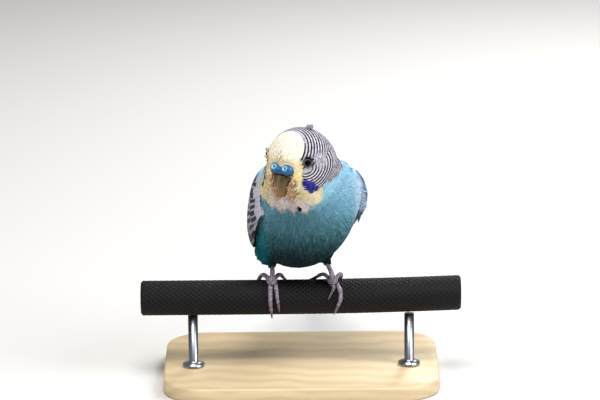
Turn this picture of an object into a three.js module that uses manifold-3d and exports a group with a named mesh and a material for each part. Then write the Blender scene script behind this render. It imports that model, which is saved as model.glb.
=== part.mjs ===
// A budgerigar at life size, leaning forward with its head turned to its right, gripping a short
// length of round braided rope that two rods hold over a flat base.
// Millimetres, +Z up. The origin is the middle of the base's underside. The bird faces -Y.
import * as THREE from "three";
import { mergeVertices } from "three/addons/utils/BufferGeometryUtils.js";
import Module from "manifold-3d";

const wasm = await Module();
wasm.setup();

// Driving dimensions
const gap = 0.3; // left between pieces that touch
const perch = { diameter: 14.2, length: 130, chamfer: 0.8, rise: 1.3, sides: 28, steps: 8 };
const stand = { width: 112, depth: 78, thickness: 6, corner: 16, edge: 1, forward: 8 };
const rod = { diameter: 4, apart: 88, exposed: 22, flange: 9, flangeHeight: 1.6, sides: 20 };

const bodyPitch = 30; // degrees that the body's long axis rises towards the head
const bodyMiddle = new THREE.Vector3(2.4, 5, 35.4);
const bodyReach = 36; // from the middle back to the root of the tail
const head = {
  middle: new THREE.Vector3(0.5, -20, 62.5),
  width: 27.4,
  yaw: 36, // degrees turned to the bird's own right
  pitch: 8, // degrees nose down
  roll: 2, // degrees left side down
};
const neck = { bottom: 18, top: 27 }; // cuts, measured from the body's middle towards the head's
const eye = { radius: 1.9, outwards: 9.9, forwards: 8.9, upwards: 3.7, shows: 0.48, lid: 0.4 };
const tail = { length: 88, droop: 20, thickness: 0.6 };
const wingHeights = { lift: 0.45, pad: 1.5, vane: 0.85, tilt: 0.5 }; // over the body, and the pad's own
const legs = { tarsus: 0.95, pad: 1.6, lean: 26 }; // lean: degrees in front of the perch's top
const perchRadius = perch.diameter / 2;
const perchHeight = stand.thickness + rod.exposed + perchRadius;

const degrees = THREE.MathUtils.degToRad;
const vector = (x, y, z) => new THREE.Vector3(x, y, z);
const sideways = vector(1, 0, 0);

// Solids and meshes
function solid(geometry) {
  const bare = geometry.index ? geometry.toNonIndexed() : geometry.clone();
  for (const name of Object.keys(bare.attributes)) {
    if (name !== "position") bare.deleteAttribute(name);
  }
  const merged = mergeVertices(bare, 1e-4);
  const triVerts = new Uint32Array(merged.index.array);
  const vertProperties = merged.attributes.position.array;
  const made = new wasm.Manifold(new wasm.Mesh({ numProp: 3, vertProperties, triVerts }));
  if (made.volume() >= 0) return made;
  for (let i = 0; i < triVerts.length; i += 3) {
    [triVerts[i + 1], triVerts[i + 2]] = [triVerts[i + 2], triVerts[i + 1]];
  }
  return new wasm.Manifold(new wasm.Mesh({ numProp: 3, vertProperties, triVerts }));
}

// The largest closed surface of a solid, with any sealed hollow filled.
function largest(body) {
  const pieces = body.decompose().filter((piece) => piece.volume() > 0);
  return pieces.sort((a, b) => b.volume() - a.volume())[0];
}

// Merges faces that are flat to each other within a small distance.
function tidied(body, distance) {
  return body.asOriginal().simplify(distance);
}

function joined(pieces) {
  return pieces.reduce((whole, piece) => whole.add(piece));
}

function geometryOf(body) {
  const { numProp, numVert, vertProperties, triVerts } = body.getMesh();
  const points = new Float32Array(numVert * 3);
  for (let i = 0; i < numVert; i++) {
    points.set(vertProperties.subarray(i * numProp, i * numProp + 3), i * 3);
  }
  const geometry = new THREE.BufferGeometry();
  geometry.setAttribute("position", new THREE.BufferAttribute(points, 3));
  geometry.setIndex(new THREE.BufferAttribute(new Uint32Array(triVerts), 1));
  geometry.computeVertexNormals();
  return geometry;
}

// Soft forms: each is a function that gives a point's distance outside it, negative inside
function ellipsoid(middle, semi, turn = new THREE.Quaternion()) {
  const back = turn.clone().invert();
  return (point) => {
    const q = point.clone().sub(middle).applyQuaternion(back).divide(semi);
    const size = q.length();
    const slope = q.divide(semi).length();
    return slope > 0 ? (size * (size - 1)) / slope : -Math.min(semi.x, semi.y, semi.z);
  };
}

function blend(softness, ...forms) {
  return (point) => forms.map((form) => form(point)).reduce((a, b) => {
    const near = Math.max(0, 1 - Math.abs(a - b) / softness);
    return Math.min(a, b) - (near * near * softness) / 4;
  });
}

// How far a ray from inside a form runs before it leaves it.
function exitAlong(form, from, direction, outset = 0) {
  const step = 2.5;
  const outside = (t) => form(from.clone().addScaledVector(direction, t)) > outset;
  let far = step;
  while (!outside(far) && far < 150) far += step;
  let near = far - step;
  for (let i = 0; i < 11; i++) {
    const middle = (near + far) / 2;
    if (outside(middle)) far = middle;
    else near = middle;
  }
  return (near + far) / 2;
}

// A closed mesh of a form, from rays that leave one point inside it. The shape sets where faces crowd.
function rayed(form, middle, shape, turn, detail, outset = 0) {
  const ball = new THREE.IcosahedronGeometry(1, detail);
  ball.deleteAttribute("uv");
  ball.deleteAttribute("normal");
  const geometry = mergeVertices(ball, 1e-4);
  const position = geometry.getAttribute("position");
  for (let i = 0; i < position.count; i++) {
    const direction = vector().fromBufferAttribute(position, i).multiply(shape);
    direction.applyQuaternion(turn).normalize();
    const reach = exitAlong(form, middle, direction, outset);
    const point = middle.clone().addScaledVector(direction, reach);
    position.setXYZ(i, point.x, point.y, point.z);
  }
  return solid(geometry);
}

// A closed tube along a curve, with its own half width and half depth at each step from 0 to 1.
function swept(curve, halfWidth, halfDepth, up, sides, steps) {
  const tube = new THREE.CylinderGeometry(1, 1, 1, sides, steps);
  const position = tube.getAttribute("position");
  for (let i = 0; i < position.count; i++) {
    const t = position.getY(i) + 0.5;
    const tangent = curve.getTangentAt(t);
    const across = tangent.clone().cross(up).normalize();
    const outwards = across.clone().cross(tangent).normalize();
    const point = curve.getPointAt(t);
    point.addScaledVector(across, position.getX(i) * halfWidth(t));
    point.addScaledVector(outwards, position.getZ(i) * halfDepth(t));
    position.setXYZ(i, point.x, point.y, point.z);
  }
  return solid(tube);
}

// A closed plate: one grid laid as a top and a bottom with the same diagonals, its rim stitched.
function plate(columns, rows, place) {
  const sheet = new THREE.PlaneGeometry(1, 1, columns, rows);
  const grid = sheet.getAttribute("position");
  const count = grid.count;
  const points = [];
  for (const face of [1, -1]) {
    for (let i = 0; i < count; i++) {
      points.push(...place(grid.getX(i) + 0.5, 0.5 - grid.getY(i), face).toArray());
    }
  }
  const faces = [];
  const index = sheet.index.array;
  for (let i = 0; i < index.length; i += 3) {
    const [a, b, c] = index.slice(i, i + 3);
    faces.push(a, b, c, c + count, b + count, a + count);
  }
  const wide = columns + 1;
  const rim = [];
  for (let j = 0; j < rows; j++) rim.push(j * wide);
  for (let i = 0; i < columns; i++) rim.push(rows * wide + i);
  for (let j = rows; j > 0; j--) rim.push(j * wide + columns);
  for (let i = columns; i > 0; i--) rim.push(i);
  rim.forEach((p, i) => {
    const q = rim[(i + 1) % rim.length];
    faces.push(p, p + count, q + count, p, q + count, q);
  });
  const geometry = new THREE.BufferGeometry();
  geometry.setAttribute("position", new THREE.Float32BufferAttribute(points, 3));
  geometry.setIndex(faces);
  return solid(geometry);
}

// Frames of the body and the head
const bodyTurn = new THREE.Quaternion().setFromAxisAngle(sideways, -degrees(bodyPitch));
const backwards = vector(0, 1, 0).applyQuaternion(bodyTurn); // from head to tail
const headTurn = new THREE.Quaternion()
  .setFromAxisAngle(vector(0, 0, 1), -degrees(head.yaw))
  .multiply(new THREE.Quaternion().setFromAxisAngle(sideways, degrees(head.pitch)))
  .multiply(new THREE.Quaternion().setFromAxisAngle(vector(0, 1, 0), degrees(head.roll)));

const inBody = (left, back, up) => vector(left, back, up).applyQuaternion(bodyTurn).add(bodyMiddle);
const headDirection = (left, forward, up) => vector(left, -forward, up).applyQuaternion(headTurn);
const inHead = (left, forward, up) => headDirection(left, forward, up).add(head.middle);
const inHeadForm = (left, forward, up, a, b, c) =>
  ellipsoid(inHead(left, forward, up), vector(a, b, c), headTurn);
const inBodyForm = (left, back, up, a, b, c) =>
  ellipsoid(inBody(left, back, up), vector(a, b, c), bodyTurn);

// The feathered body, as soft forms in the body's and the head's own frames
const headRadius = head.width / 2;
const towardsHead = head.middle.clone().sub(bodyMiddle).normalize();
const alongNeck = (distance) => bodyMiddle.clone().addScaledVector(towardsHead, distance);
const neckTurn = new THREE.Quaternion().setFromUnitVectors(vector(0, 0, 1), towardsHead);

const trunk = inBodyForm(0, 0, 0, 20.2, 31, 18.3);
const breast = inBodyForm(-0.8, -9, -5, 18.6, 18, 17);
const belly = ellipsoid(vector(-1.6, 0, 27.4), vector(16.6, 18, 14.6), bodyTurn);
const shoulders = inBodyForm(0, -9, 6, 17.4, 15, 12);
const leftFlank = ellipsoid(vector(10, 2, 44), vector(14.4, 15, 13), bodyTurn);
const rump = inBodyForm(0, 24, 1.5, 10.5, 17, 8.2);
const hindneck = ellipsoid(alongNeck(20), vector(17.2, 14.5, 15), neckTurn);
const nape = inHeadForm(0, -4.2, -3, 12.8, 10.5, 11.6);
const skull = inHeadForm(0, 0, 0, headRadius, 13.2, 13.4);
const forehead = inHeadForm(0, 5.2, 3, 9.6, 8, 8.6);
const cheeks = [1, -1].map((side) => inHeadForm(side * 6.2, 4.6, -6, 6.6, 7, 7));
const beard = [1, -1].map((side) => inHeadForm(side * 5.6, 3.4, -12.4, 6, 5.6, 6.4));

const bodyForm = blend(6, trunk, breast, belly, shoulders, leftFlank, rump);
const headForm = blend(3, skull, nape, forehead, ...cheeks, ...beard);
const plumage = blend(6, bodyForm, hindneck, headForm);

const trunkShape = vector(20, 31, 19);
const ballShape = vector(1, 1, 1);
const trunkAt = (outset) => rayed(plumage, bodyMiddle, trunkShape, bodyTurn, 8, outset);
const headAt = (outset) => rayed(plumage, head.middle, ballShape, headTurn, 8, outset);
const neckAt = () => rayed(plumage, alongNeck(22), ballShape, neckTurn, 7);

function cutBelow(body, distance) {
  const away = towardsHead.clone().negate();
  return largest(body.trimByPlane(away.toArray(), away.dot(alongNeck(distance))));
}

function cutAbove(body, distance) {
  return largest(body.trimByPlane(towardsHead.toArray(), towardsHead.dot(alongNeck(distance))));
}

const torsoWhole = trunkAt(0);
const torsoClear = trunkAt(gap);
const headClear = headAt(gap);
const torso = cutBelow(torsoWhole, neck.bottom - gap / 2);
const neckSolid = cutBelow(cutAbove(neckAt(), neck.bottom + gap / 2), neck.top - gap / 2);

// Eyes, each in a socket with a raised lid ring round it
function eyeFrame(side) {
  const towards = headDirection(side * eye.outwards, eye.forwards, eye.upwards).normalize();
  const surface = exitAlong(plumage, head.middle, towards);
  const facing = headDirection(side * 0.86, 0.5, 0.08).normalize();
  const front = head.middle.clone().addScaledVector(towards, surface);
  return { facing, middle: front.clone().addScaledVector(facing, eye.shows - eye.radius) };
}

function ball(middle, radius, facing) {
  const geometry = new THREE.SphereGeometry(radius, 16, 10).rotateX(Math.PI / 2);
  const turn = new THREE.Quaternion().setFromUnitVectors(vector(0, 0, 1), facing);
  return solid(geometry.applyQuaternion(turn).translate(...middle.toArray()));
}

function lidRing(side) {
  const { facing, middle } = eyeFrame(side);
  const turn = new THREE.Quaternion().setFromUnitVectors(vector(0, 0, 1), facing);
  const out = eye.radius - eye.shows;
  const ring = new THREE.TorusGeometry(eye.radius * 0.98, eye.lid, 6, 18).scale(1, 0.94, 1.3);
  ring.applyQuaternion(turn).translate(...middle.clone().addScaledVector(facing, out * 0.55).toArray());
  return solid(ring);
}

const eyes = [1, -1].map((side) => {
  const { facing, middle } = eyeFrame(side);
  return { solid: ball(middle, eye.radius, facing), socket: ball(middle, eye.radius + gap, facing) };
});

// Beak and cere, in the head's own frame
const beakCurve = new THREE.CatmullRomCurve3([
  inHead(0, 7.5, -1.2),
  inHead(0, 11.4, -1.9),
  inHead(0, 13.1, -4.6),
  inHead(0, 13.1, -8),
  inHead(0, 12.3, -11.4),
]);
const lowerCurve = new THREE.CatmullRomCurve3([
  inHead(0, 5, -8.4),
  inHead(0, 8.2, -9.9),
  inHead(0, 10.6, -9.6),
]);
const headUp = headDirection(0, 0, 1);
const headForward = headDirection(0, 1, 0);

function upperBeak(outset) {
  const width = (t) => 4.3 * Math.sqrt(Math.max(0.004, 1 - t ** 2.2)) + outset;
  const depth = (t) => 3.3 * Math.sqrt(Math.max(0.006, 1 - t ** 1.9)) + outset;
  return swept(beakCurve, width, depth, headForward, 12, 10);
}

function lowerBeak() {
  const width = (t) => 3.5 * Math.sqrt(Math.max(0.02, 1 - t ** 3));
  const depth = (t) => 1.9 * Math.sqrt(Math.max(0.03, 1 - t ** 3));
  return swept(lowerCurve, width, depth, headForward, 10, 5);
}

const cereLobes = [1, -1].map((side) => inHeadForm(side * 2.75, 12.4, 0.7, 2.75, 3.1, 2.5));
const cereForm = blend(0.5, ...cereLobes, inHeadForm(0, 12.6, 0.4, 2.4, 2.6, 1.9));

function cereAt(outset) {
  return rayed(cereForm, inHead(0, 12.3, 0.5), vector(1.8, 1, 1), headTurn, 4, outset);
}

function nostril(side) {
  const hole = new THREE.CylinderGeometry(0.62, 0.42, 1.6, 8).rotateX(Math.PI / 2);
  const facing = headDirection(side * 0.24, 0.9, 0.36).normalize();
  const turn = new THREE.Quaternion().setFromUnitVectors(vector(0, 0, 1), facing);
  const mouth = inHead(side * 2.3, 12.4, 1.4);
  const depth = exitAlong(cereForm, mouth, facing);
  mouth.addScaledVector(facing, depth - 0.1);
  return solid(hole.applyQuaternion(turn).translate(...mouth.toArray()));
}

const nostrils = joined([nostril(1), nostril(-1)]);
const cere = largest(cereAt(0).subtract(headClear).subtract(nostrils));
const beakUpper = largest(upperBeak(0).subtract(headClear).subtract(cereAt(gap)));
const beakLower = largest(lowerBeak().subtract(upperBeak(gap)).subtract(headClear));
const headLids = joined([headAt(0), lidRing(1), lidRing(-1)]);
const headSolid = largest(cutAbove(headLids.subtract(eyes[0].socket).subtract(eyes[1].socket), neck.top + gap / 2));

// The line that wings and tail follow, from the shoulders down the back to the tail's tip
const tailDirection = vector(0, Math.cos(degrees(tail.droop)), -Math.sin(degrees(tail.droop)));
const tailRoot = bodyMiddle.clone().addScaledVector(backwards, bodyReach);
const backLine = new THREE.CatmullRomCurve3([
  bodyMiddle.clone().addScaledVector(backwards, -26),
  bodyMiddle.clone(),
  tailRoot.clone().addScaledVector(backwards, -4),
  tailRoot.clone().addScaledVector(tailDirection, 24),
  tailRoot.clone().addScaledVector(tailDirection, tail.length),
]);
const backLength = backLine.getLength();

// A point on the sheet that a folded wing lies on. Along is millimetres behind the shoulder end of the
// back line, round is degrees up from level on the bird's side, and height is above the sheet.
const mantle = blend(
  8,
  bodyForm,
  ellipsoid(tailRoot.clone().addScaledVector(tailDirection, 8), vector(10.5, 46, 7.4),
    new THREE.Quaternion().setFromAxisAngle(sideways, -degrees(tail.droop))),
);

function onSheet(side, along, round, height) {
  const t = THREE.MathUtils.clamp(along / backLength, 0, 1);
  const from = backLine.getPointAt(t);
  const dorsal = sideways.clone().cross(backLine.getTangentAt(t)).normalize();
  const angle = degrees(round);
  const direction = dorsal.multiplyScalar(Math.sin(angle)).addScaledVector(sideways, side * Math.cos(angle));
  const reach = exitAlong(mantle, from, direction, 0);
  return from.addScaledVector(direction, reach + height);
}

// A feather's half width at each step from its root to its tip, as a share of its widest half.
function vaneShape(t) {
  const shoulder = Math.min(1, 0.5 + 1.8 * t);
  const tip = Math.max(0, (t - 0.72) / 0.28);
  return shoulder * Math.sqrt(Math.max(0.012, 1 - tip ** 2.2));
}

// Folded wings: a thin pad on the body's side, and feathers on it in tiers that overlap like tiles.
// Along is millimetres down the back line, round is degrees up from level, at each tier's two ends.
const tiers = [
  { count: 6, root: [38, 46], tip: [99, 76], rootRound: [-20, 44], tipRound: [62, 83], width: 7.6, rows: 5 },
  { count: 6, root: [27, 30], tip: [56, 70], rootRound: [-21, 56], tipRound: [6, 79], width: 10, rows: 4 },
  { count: 6, root: [19, 21], tip: [38, 44], rootRound: [-24, 56], tipRound: [-16, 68], width: 9.6, rows: 3 },
  { count: 5, root: [13, 14], tip: [26, 29], rootRound: [-26, 42], tipRound: [-22, 56], width: 10.2, rows: 3 },
];
const wingSides = {
  right: { name: "right", side: -1, front: 11, shift: 0, low: -30, roundShift: 0 },
  left: { name: "left", side: 1, front: 28, shift: 17, low: 16, roundShift: 42 },
};
const padEnd = 64;

function padHeight(wing, along) {
  const t = THREE.MathUtils.clamp((along - wing.front) / (padEnd - wing.front), 0, 1);
  return wingHeights.lift + THREE.MathUtils.lerp(wingHeights.pad, 0.35, t);
}

function wingPad(wing) {
  const place = (u, v, face) => {
    const along = wing.front + v * (padEnd - wing.front);
    const lower = THREE.MathUtils.lerp(wing.low + 5, 40, v ** 1.4);
    const upper = THREE.MathUtils.lerp(26, 78, Math.min(1, v * 1.7) ** 0.7);
    const span = Math.sqrt(Math.max(0.06, 1 - (2 * v - 1) ** 4));
    const round = (lower + upper) / 2 + (u - 0.5) * (upper - lower) * span;
    const edge = Math.sin(Math.PI * THREE.MathUtils.clamp(u, 0.06, 0.94)) ** 0.5;
    const top = THREE.MathUtils.lerp(wingHeights.lift + 0.3, padHeight(wing, along), edge);
    return onSheet(wing.side, along, round, face > 0 ? top : wingHeights.lift);
  };
  return plate(5, 5, place);
}

function wingVane(wing, tier, step, jitter) {
  const mix = (range) => THREE.MathUtils.lerp(range[0], range[1], step);
  const squeeze = (range) => mix(range) + wing.roundShift * (1 - step) * (range === tier.rootRound ? 1 : 0.6);
  const start = mix(tier.root) + wing.shift * Math.max(0, 1 - mix(tier.root) / 45);
  const end = mix(tier.tip) + jitter + wing.shift * Math.max(0, 1 - mix(tier.tip) / 60);
  const place = (u, v, face) => {
    const t = 1 - (1 - v) ** 1.35;
    const along = THREE.MathUtils.lerp(start, end, t);
    const middle = THREE.MathUtils.lerp(squeeze(tier.rootRound), squeeze(tier.tipRound), t);
    const across = (u - 0.5) * tier.width * vaneShape(t);
    const girth = 6 + 14 * Math.max(0, 1 - along / 66);
    const round = Math.min(86, middle + THREE.MathUtils.radToDeg(across / girth));
    const bow = 0.14 * (1 - (2 * u - 1) ** 2);
    const tilt = (-wingHeights.tilt * across) / tier.width;
    const under = padHeight(wing, along) - 0.55 + 0.25 * t + tilt + bow;
    const depth = wingHeights.vane * (1 - 0.25 * t);
    return onSheet(wing.side, along, round, under + (face > 0 ? depth : 0));
  };
  return plate(2, tier.rows, place);
}

function wingSolid(wing) {
  const vanes = tiers.flatMap((tier, row) => Array.from({ length: tier.count }, (_, i) => {
    const jitter = 0.8 * Math.sin(5.1 * i + 2.3 * row);
    return wingVane(wing, tier, i / (tier.count - 1), jitter);
  }));
  const clear = torsoClear.add(thighAt(feet[wing.name], gap));
  return largest(tidied(joined([wingPad(wing), ...vanes]).subtract(clear), 0.06));
}

// Tail: twelve graduated feathers that step down from the middle pair, on a short root
const tailDorsal = sideways.clone().cross(tailDirection).normalize();
const tailLengths = [88, 61, 53, 45, 38, 31];

function onTail(back, aside, up) {
  return tailRoot.clone()
    .addScaledVector(tailDirection, back)
    .addScaledVector(sideways, aside)
    .addScaledVector(tailDorsal, up);
}

function tailVane(side, step) {
  const length = tailLengths[step];
  const width = step === 0 ? 6.4 : 7.2 - 0.2 * step;
  const place = (u, v, face) => {
    const t = 1 - (1 - v) ** 1.35;
    const taper = step === 0 ? 1 - 0.35 * t : 1 - 0.15 * t;
    const middle = side * (0.9 + 0.95 * step * (0.4 + 0.6 * t) + step * 0.02 * length * t);
    const across = (u - 0.5) * width * taper * vaneShape(t);
    const stacked = 0.9 - 0.42 * step + (side > 0 ? 0.2 : 0) - 0.35 * ((across * side) / width);
    return onTail(t * length - 5, middle + across, stacked + (face * tail.thickness) / 2);
  };
  return plate(2, 6, place);
}

function tailSolid() {
  const root = new THREE.SphereGeometry(1, 14, 10).scale(7.2, 13, 2.9);
  root.applyQuaternion(new THREE.Quaternion().setFromAxisAngle(sideways, -degrees(tail.droop)));
  root.translate(...onTail(-1, 0, -0.4).toArray());
  const vanes = [1, -1].flatMap((side) => tailLengths.map((_, step) => tailVane(side, step)));
  return largest(tidied(joined([solid(root), ...vanes]).subtract(torsoClear), 0.04));
}

// Legs and feet
const feet = {
  right: {
    x: -11.7,
    side: -1,
    bow: 0.2,
    ankle: vector(-11.8, 3.4, 20.5),
    thigh: vector(-12.5, 2.5, 20.2),
    toes: { outer_back: { drift: 6 } },
  },
  left: {
    x: 12.9,
    side: 1,
    bow: 1.2,
    ankle: vector(8, 3.2, 19.5),
    thigh: vector(8.4, 2.5, 21),
    toes: {
      outer_front: { to: 103, drift: 0.6, bow: 1.3, set: 1.4 },
      inner_front: { to: 58, drift: 0.8, bow: 0.75, set: -0.9 },
      outer_back: { to: -60, drift: 1.6 },
      inner_back: { to: -40, drift: -6.5 },
    },
  },
};

// A point a given height over the perch's surface, degrees round from its top towards the front.
function onPerch(x, round, height) {
  const radius = perchRadius + gap + height;
  return vector(x, -radius * Math.sin(degrees(round)), radius * Math.cos(degrees(round)));
}

function thighAt(foot, outset) {
  const form = ellipsoid(foot.thigh, vector(6.2, 9, 7.4), bodyTurn);
  return rayed(form, foot.thigh, ballShape, bodyTurn, 4, outset);
}

function legCurve(foot) {
  const sole = onPerch(foot.x, legs.lean, legs.pad * 0.9);
  const knuckle = onPerch(foot.x - foot.side * 0.3, legs.lean - 4, 4.4);
  return new THREE.CatmullRomCurve3([foot.ankle, foot.ankle.clone().lerp(knuckle, 0.6), knuckle, sole]);
}

function legAt(foot, outset) {
  const radius = (t) => legs.tarsus + 0.3 * (1 - t) ** 3 + 0.5 * t ** 6 + outset;
  const shank = swept(legCurve(foot), radius, radius, sideways, 8, 8);
  const sole = onPerch(foot.x, legs.lean, legs.pad);
  const turn = new THREE.Quaternion().setFromAxisAngle(sideways, degrees(legs.lean));
  const pad = new THREE.SphereGeometry(1, 10, 7).scale(2.3 + outset, 2.6 + outset, legs.pad + outset);
  return shank.add(solid(pad.applyQuaternion(turn).translate(...sole.toArray())));
}

// Toes, two to the front and two to the back: how far round the perch each runs, its sideways
// drift at its end, its middle's bow, and its root and tip radius. A foot's own values come first.
const toes = {
  outer_front: { from: 34, to: 120, drift: -0.2, bow: 1.1, root: 1.05, tip: 0.72, claw: 4.6, set: 0.5 },
  inner_front: { from: 34, to: 92, drift: -1, bow: 0.3, root: 0.98, tip: 0.68, claw: 4, set: -1.5 },
  outer_back: { from: 14, to: -84, drift: 4.2, bow: 1.4, root: 1.05, tip: 0.72, claw: 4.6, set: 1.1 },
  inner_back: { from: 14, to: -48, drift: -4.4, bow: 0.4, root: 0.98, tip: 0.68, claw: 4, set: -1.1 },
};

function toeCurve(foot, toe) {
  const points = [];
  const steps = 6;
  for (let i = 0; i <= steps; i++) {
    const t = i / steps;
    const round = THREE.MathUtils.lerp(toe.from, toe.to, t);
    const bow = toe.bow * foot.bow * Math.sin(Math.PI * t);
    const x = foot.x + foot.side * (toe.set + toe.drift * t + bow);
    const radius = THREE.MathUtils.lerp(toe.root, toe.tip, t);
    points.push(onPerch(x, round, radius + 0.9 * Math.sin(Math.PI * t) ** 2));
  }
  return new THREE.CatmullRomCurve3(points);
}

function toeAt(foot, toe, outset) {
  const radius = (t) => {
    const joints = 1 + 0.08 * Math.cos(t * 6 * Math.PI);
    return THREE.MathUtils.lerp(toe.root, toe.tip, t) * joints + outset;
  };
  return swept(toeCurve(foot, toe), radius, radius, sideways, 8, 9);
}

function clawSolid(foot, toe) {
  const curve = toeCurve(foot, toe);
  const end = curve.getPointAt(1);
  const heading = curve.getTangentAt(1);
  const outwards = vector(0, end.y, end.z).normalize();
  const base = end.clone().addScaledVector(heading, gap);
  const points = [0, 0.35, 0.7, 1].map((t) => base.clone()
    .addScaledVector(heading, t * toe.claw)
    .addScaledVector(outwards, 0.55 * Math.sin(t * Math.PI * 0.75) - 0.35 * t * t * toe.claw * 0.4));
  const radius = (t) => toe.tip * 0.78 * (1 - t) ** 0.8 + 0.09;
  return swept(new THREE.CatmullRomCurve3(points), radius, radius, sideways, 7, 5);
}

// Perch and stand
function perchRise(x) {
  return perch.rise * (Math.max(0, x + 10) / (perch.length / 2 + 10)) ** 2;
}

function perchSolid() {
  const half = perch.length / 2;
  const span = perch.length - 2 * perch.chamfer;
  const profile = [
    [0, -half],
    [perchRadius - perch.chamfer, -half],
    ...Array.from({ length: perch.steps + 1 }, (_, i) => [perchRadius, span * (i / perch.steps - 0.5)]),
    [perchRadius - perch.chamfer, half],
    [0, half],
  ].map(([r, h]) => new THREE.Vector2(r, h));
  const rope = new THREE.LatheGeometry(profile, perch.sides).rotateZ(-Math.PI / 2);
  const position = rope.getAttribute("position");
  for (let i = 0; i < position.count; i++) {
    position.setZ(i, position.getZ(i) + perchRise(position.getX(i)));
  }
  return solid(rope);
}

function rodSolid() {
  const top = perchHeight - perchRadius - gap - 0.02;
  const profile = [
    [0, stand.thickness + gap],
    [rod.flange / 2, stand.thickness + gap],
    [rod.flange / 2, stand.thickness + gap + rod.flangeHeight * 0.6],
    [rod.diameter / 2 + 0.6, stand.thickness + gap + rod.flangeHeight],
    [rod.diameter / 2, stand.thickness + gap + rod.flangeHeight + 0.6],
    [rod.diameter / 2, top],
    [0, top],
  ].map(([r, h]) => new THREE.Vector2(r, h));
  return solid(new THREE.LatheGeometry(profile, rod.sides).rotateX(Math.PI / 2));
}

function baseGeometry() {
  const halfWidth = stand.width / 2 - stand.edge;
  const halfDepth = stand.depth / 2 - stand.edge;
  const corner = stand.corner;
  const outline = new THREE.Shape();
  outline.absarc(halfWidth - corner, halfDepth - corner, corner, 0, Math.PI / 2);
  outline.absarc(corner - halfWidth, halfDepth - corner, corner, Math.PI / 2, Math.PI);
  outline.absarc(corner - halfWidth, corner - halfDepth, corner, Math.PI, Math.PI * 1.5);
  outline.absarc(halfWidth - corner, corner - halfDepth, corner, Math.PI * 1.5, Math.PI * 2);
  return new THREE.ExtrudeGeometry(outline, {
    depth: stand.thickness - 2 * stand.edge,
    bevelThickness: stand.edge,
    bevelSize: stand.edge,
    bevelSegments: 2,
    curveSegments: 5,
  }).translate(0, 0, stand.edge);
}

// Assembly
const colours = {
  blue_plumage: "#4f9fb4",
  face_plumage: "#efe0b4",
  barred_plumage: "#7d7886",
  wing_feathers: "#8f8a90",
  tail_feathers: "#2d4f8c",
  cere: "#1f7fae",
  beak: "#7d6320",
  eye: "#0d0b0d",
  leg_skin: "#8d7c88",
  claw: "#5b4d52",
  rope: "#1f1b21",
  rod_steel: "#b9bcc0",
  base_wood: "#cdbb9b",
};
const finishes = Object.fromEntries(Object.entries(colours).map(([slot, color]) => [
  slot,
  new THREE.MeshStandardMaterial({
    color,
    name: slot,
    roughness: slot === "eye" ? 0.1 : 0.7,
    metalness: slot === "rod_steel" ? 1 : 0,
  }),
]));

const part = new THREE.Group();
const mounted = new THREE.Group();
mounted.position.set(0, -stand.forward, perchHeight);
part.add(mounted);

function add(group, name, body, slot) {
  const geometry = body.isBufferGeometry ? body : geometryOf(body);
  const mesh = new THREE.Mesh(geometry, finishes[slot]);
  mesh.name = name;
  group.add(mesh);
  return mesh;
}

add(mounted, "torso", torso, "blue_plumage");
add(mounted, "neck", neckSolid, "barred_plumage");
add(mounted, "head", headSolid, "face_plumage");
add(mounted, "cere", cere, "cere");
add(mounted, "beak_upper", beakUpper, "beak");
add(mounted, "beak_lower", beakLower, "beak");
add(mounted, "eye_left", eyes[0].solid, "eye");
add(mounted, "eye_right", eyes[1].solid, "eye");
add(mounted, "wing_left", wingSolid(wingSides.left), "wing_feathers");
add(mounted, "wing_right", wingSolid(wingSides.right), "wing_feathers");
add(mounted, "tail", tailSolid(), "tail_feathers");

for (const [name, foot] of Object.entries(feet)) {
  const thigh = largest(thighAt(foot, 0).subtract(torsoClear));
  add(mounted, `thigh_${name}`, thigh, "blue_plumage");
  const clear = thighAt(foot, gap).add(torsoClear);
  add(mounted, `leg_${name}`, largest(legAt(foot, 0).subtract(clear)), "leg_skin");
  let taken = legAt(foot, gap);
  for (const [toeName, usual] of Object.entries(toes)) {
    const toe = { ...usual, ...foot.toes[toeName] };
    add(mounted, `toe_${name}_${toeName}`, largest(toeAt(foot, toe, 0).subtract(taken)), "leg_skin");
    add(mounted, `claw_${name}_${toeName}`, clawSolid(foot, toe), "claw");
    taken = taken.add(toeAt(foot, toe, gap));
  }
}

add(mounted, "perch", perchSolid(), "rope");
for (const [name, side] of [["left", 1], ["right", -1]]) {
  const mesh = add(part, `stand_rod_${name}`, rodSolid(), "rod_steel");
  mesh.position.set((side * rod.apart) / 2, -stand.forward, 0);
}
add(part, "stand_base", baseGeometry(), "base_wood");

export default part;
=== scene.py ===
import math

import bpy
import numpy as np
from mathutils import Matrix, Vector


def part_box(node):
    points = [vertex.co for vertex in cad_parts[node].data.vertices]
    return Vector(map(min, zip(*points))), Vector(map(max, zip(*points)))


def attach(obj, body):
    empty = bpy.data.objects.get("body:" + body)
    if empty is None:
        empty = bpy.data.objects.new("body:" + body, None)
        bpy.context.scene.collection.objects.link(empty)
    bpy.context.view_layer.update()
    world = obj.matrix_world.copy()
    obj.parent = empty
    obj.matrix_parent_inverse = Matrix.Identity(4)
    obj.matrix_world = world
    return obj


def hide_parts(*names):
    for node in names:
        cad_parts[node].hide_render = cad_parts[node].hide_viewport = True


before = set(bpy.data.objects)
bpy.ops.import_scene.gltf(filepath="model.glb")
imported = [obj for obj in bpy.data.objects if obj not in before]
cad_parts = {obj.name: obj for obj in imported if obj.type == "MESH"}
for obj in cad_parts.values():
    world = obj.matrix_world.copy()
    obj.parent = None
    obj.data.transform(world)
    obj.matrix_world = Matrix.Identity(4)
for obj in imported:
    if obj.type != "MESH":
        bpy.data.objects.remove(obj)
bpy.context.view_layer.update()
rng = np.random.default_rng(11)
MM = 0.001

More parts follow.
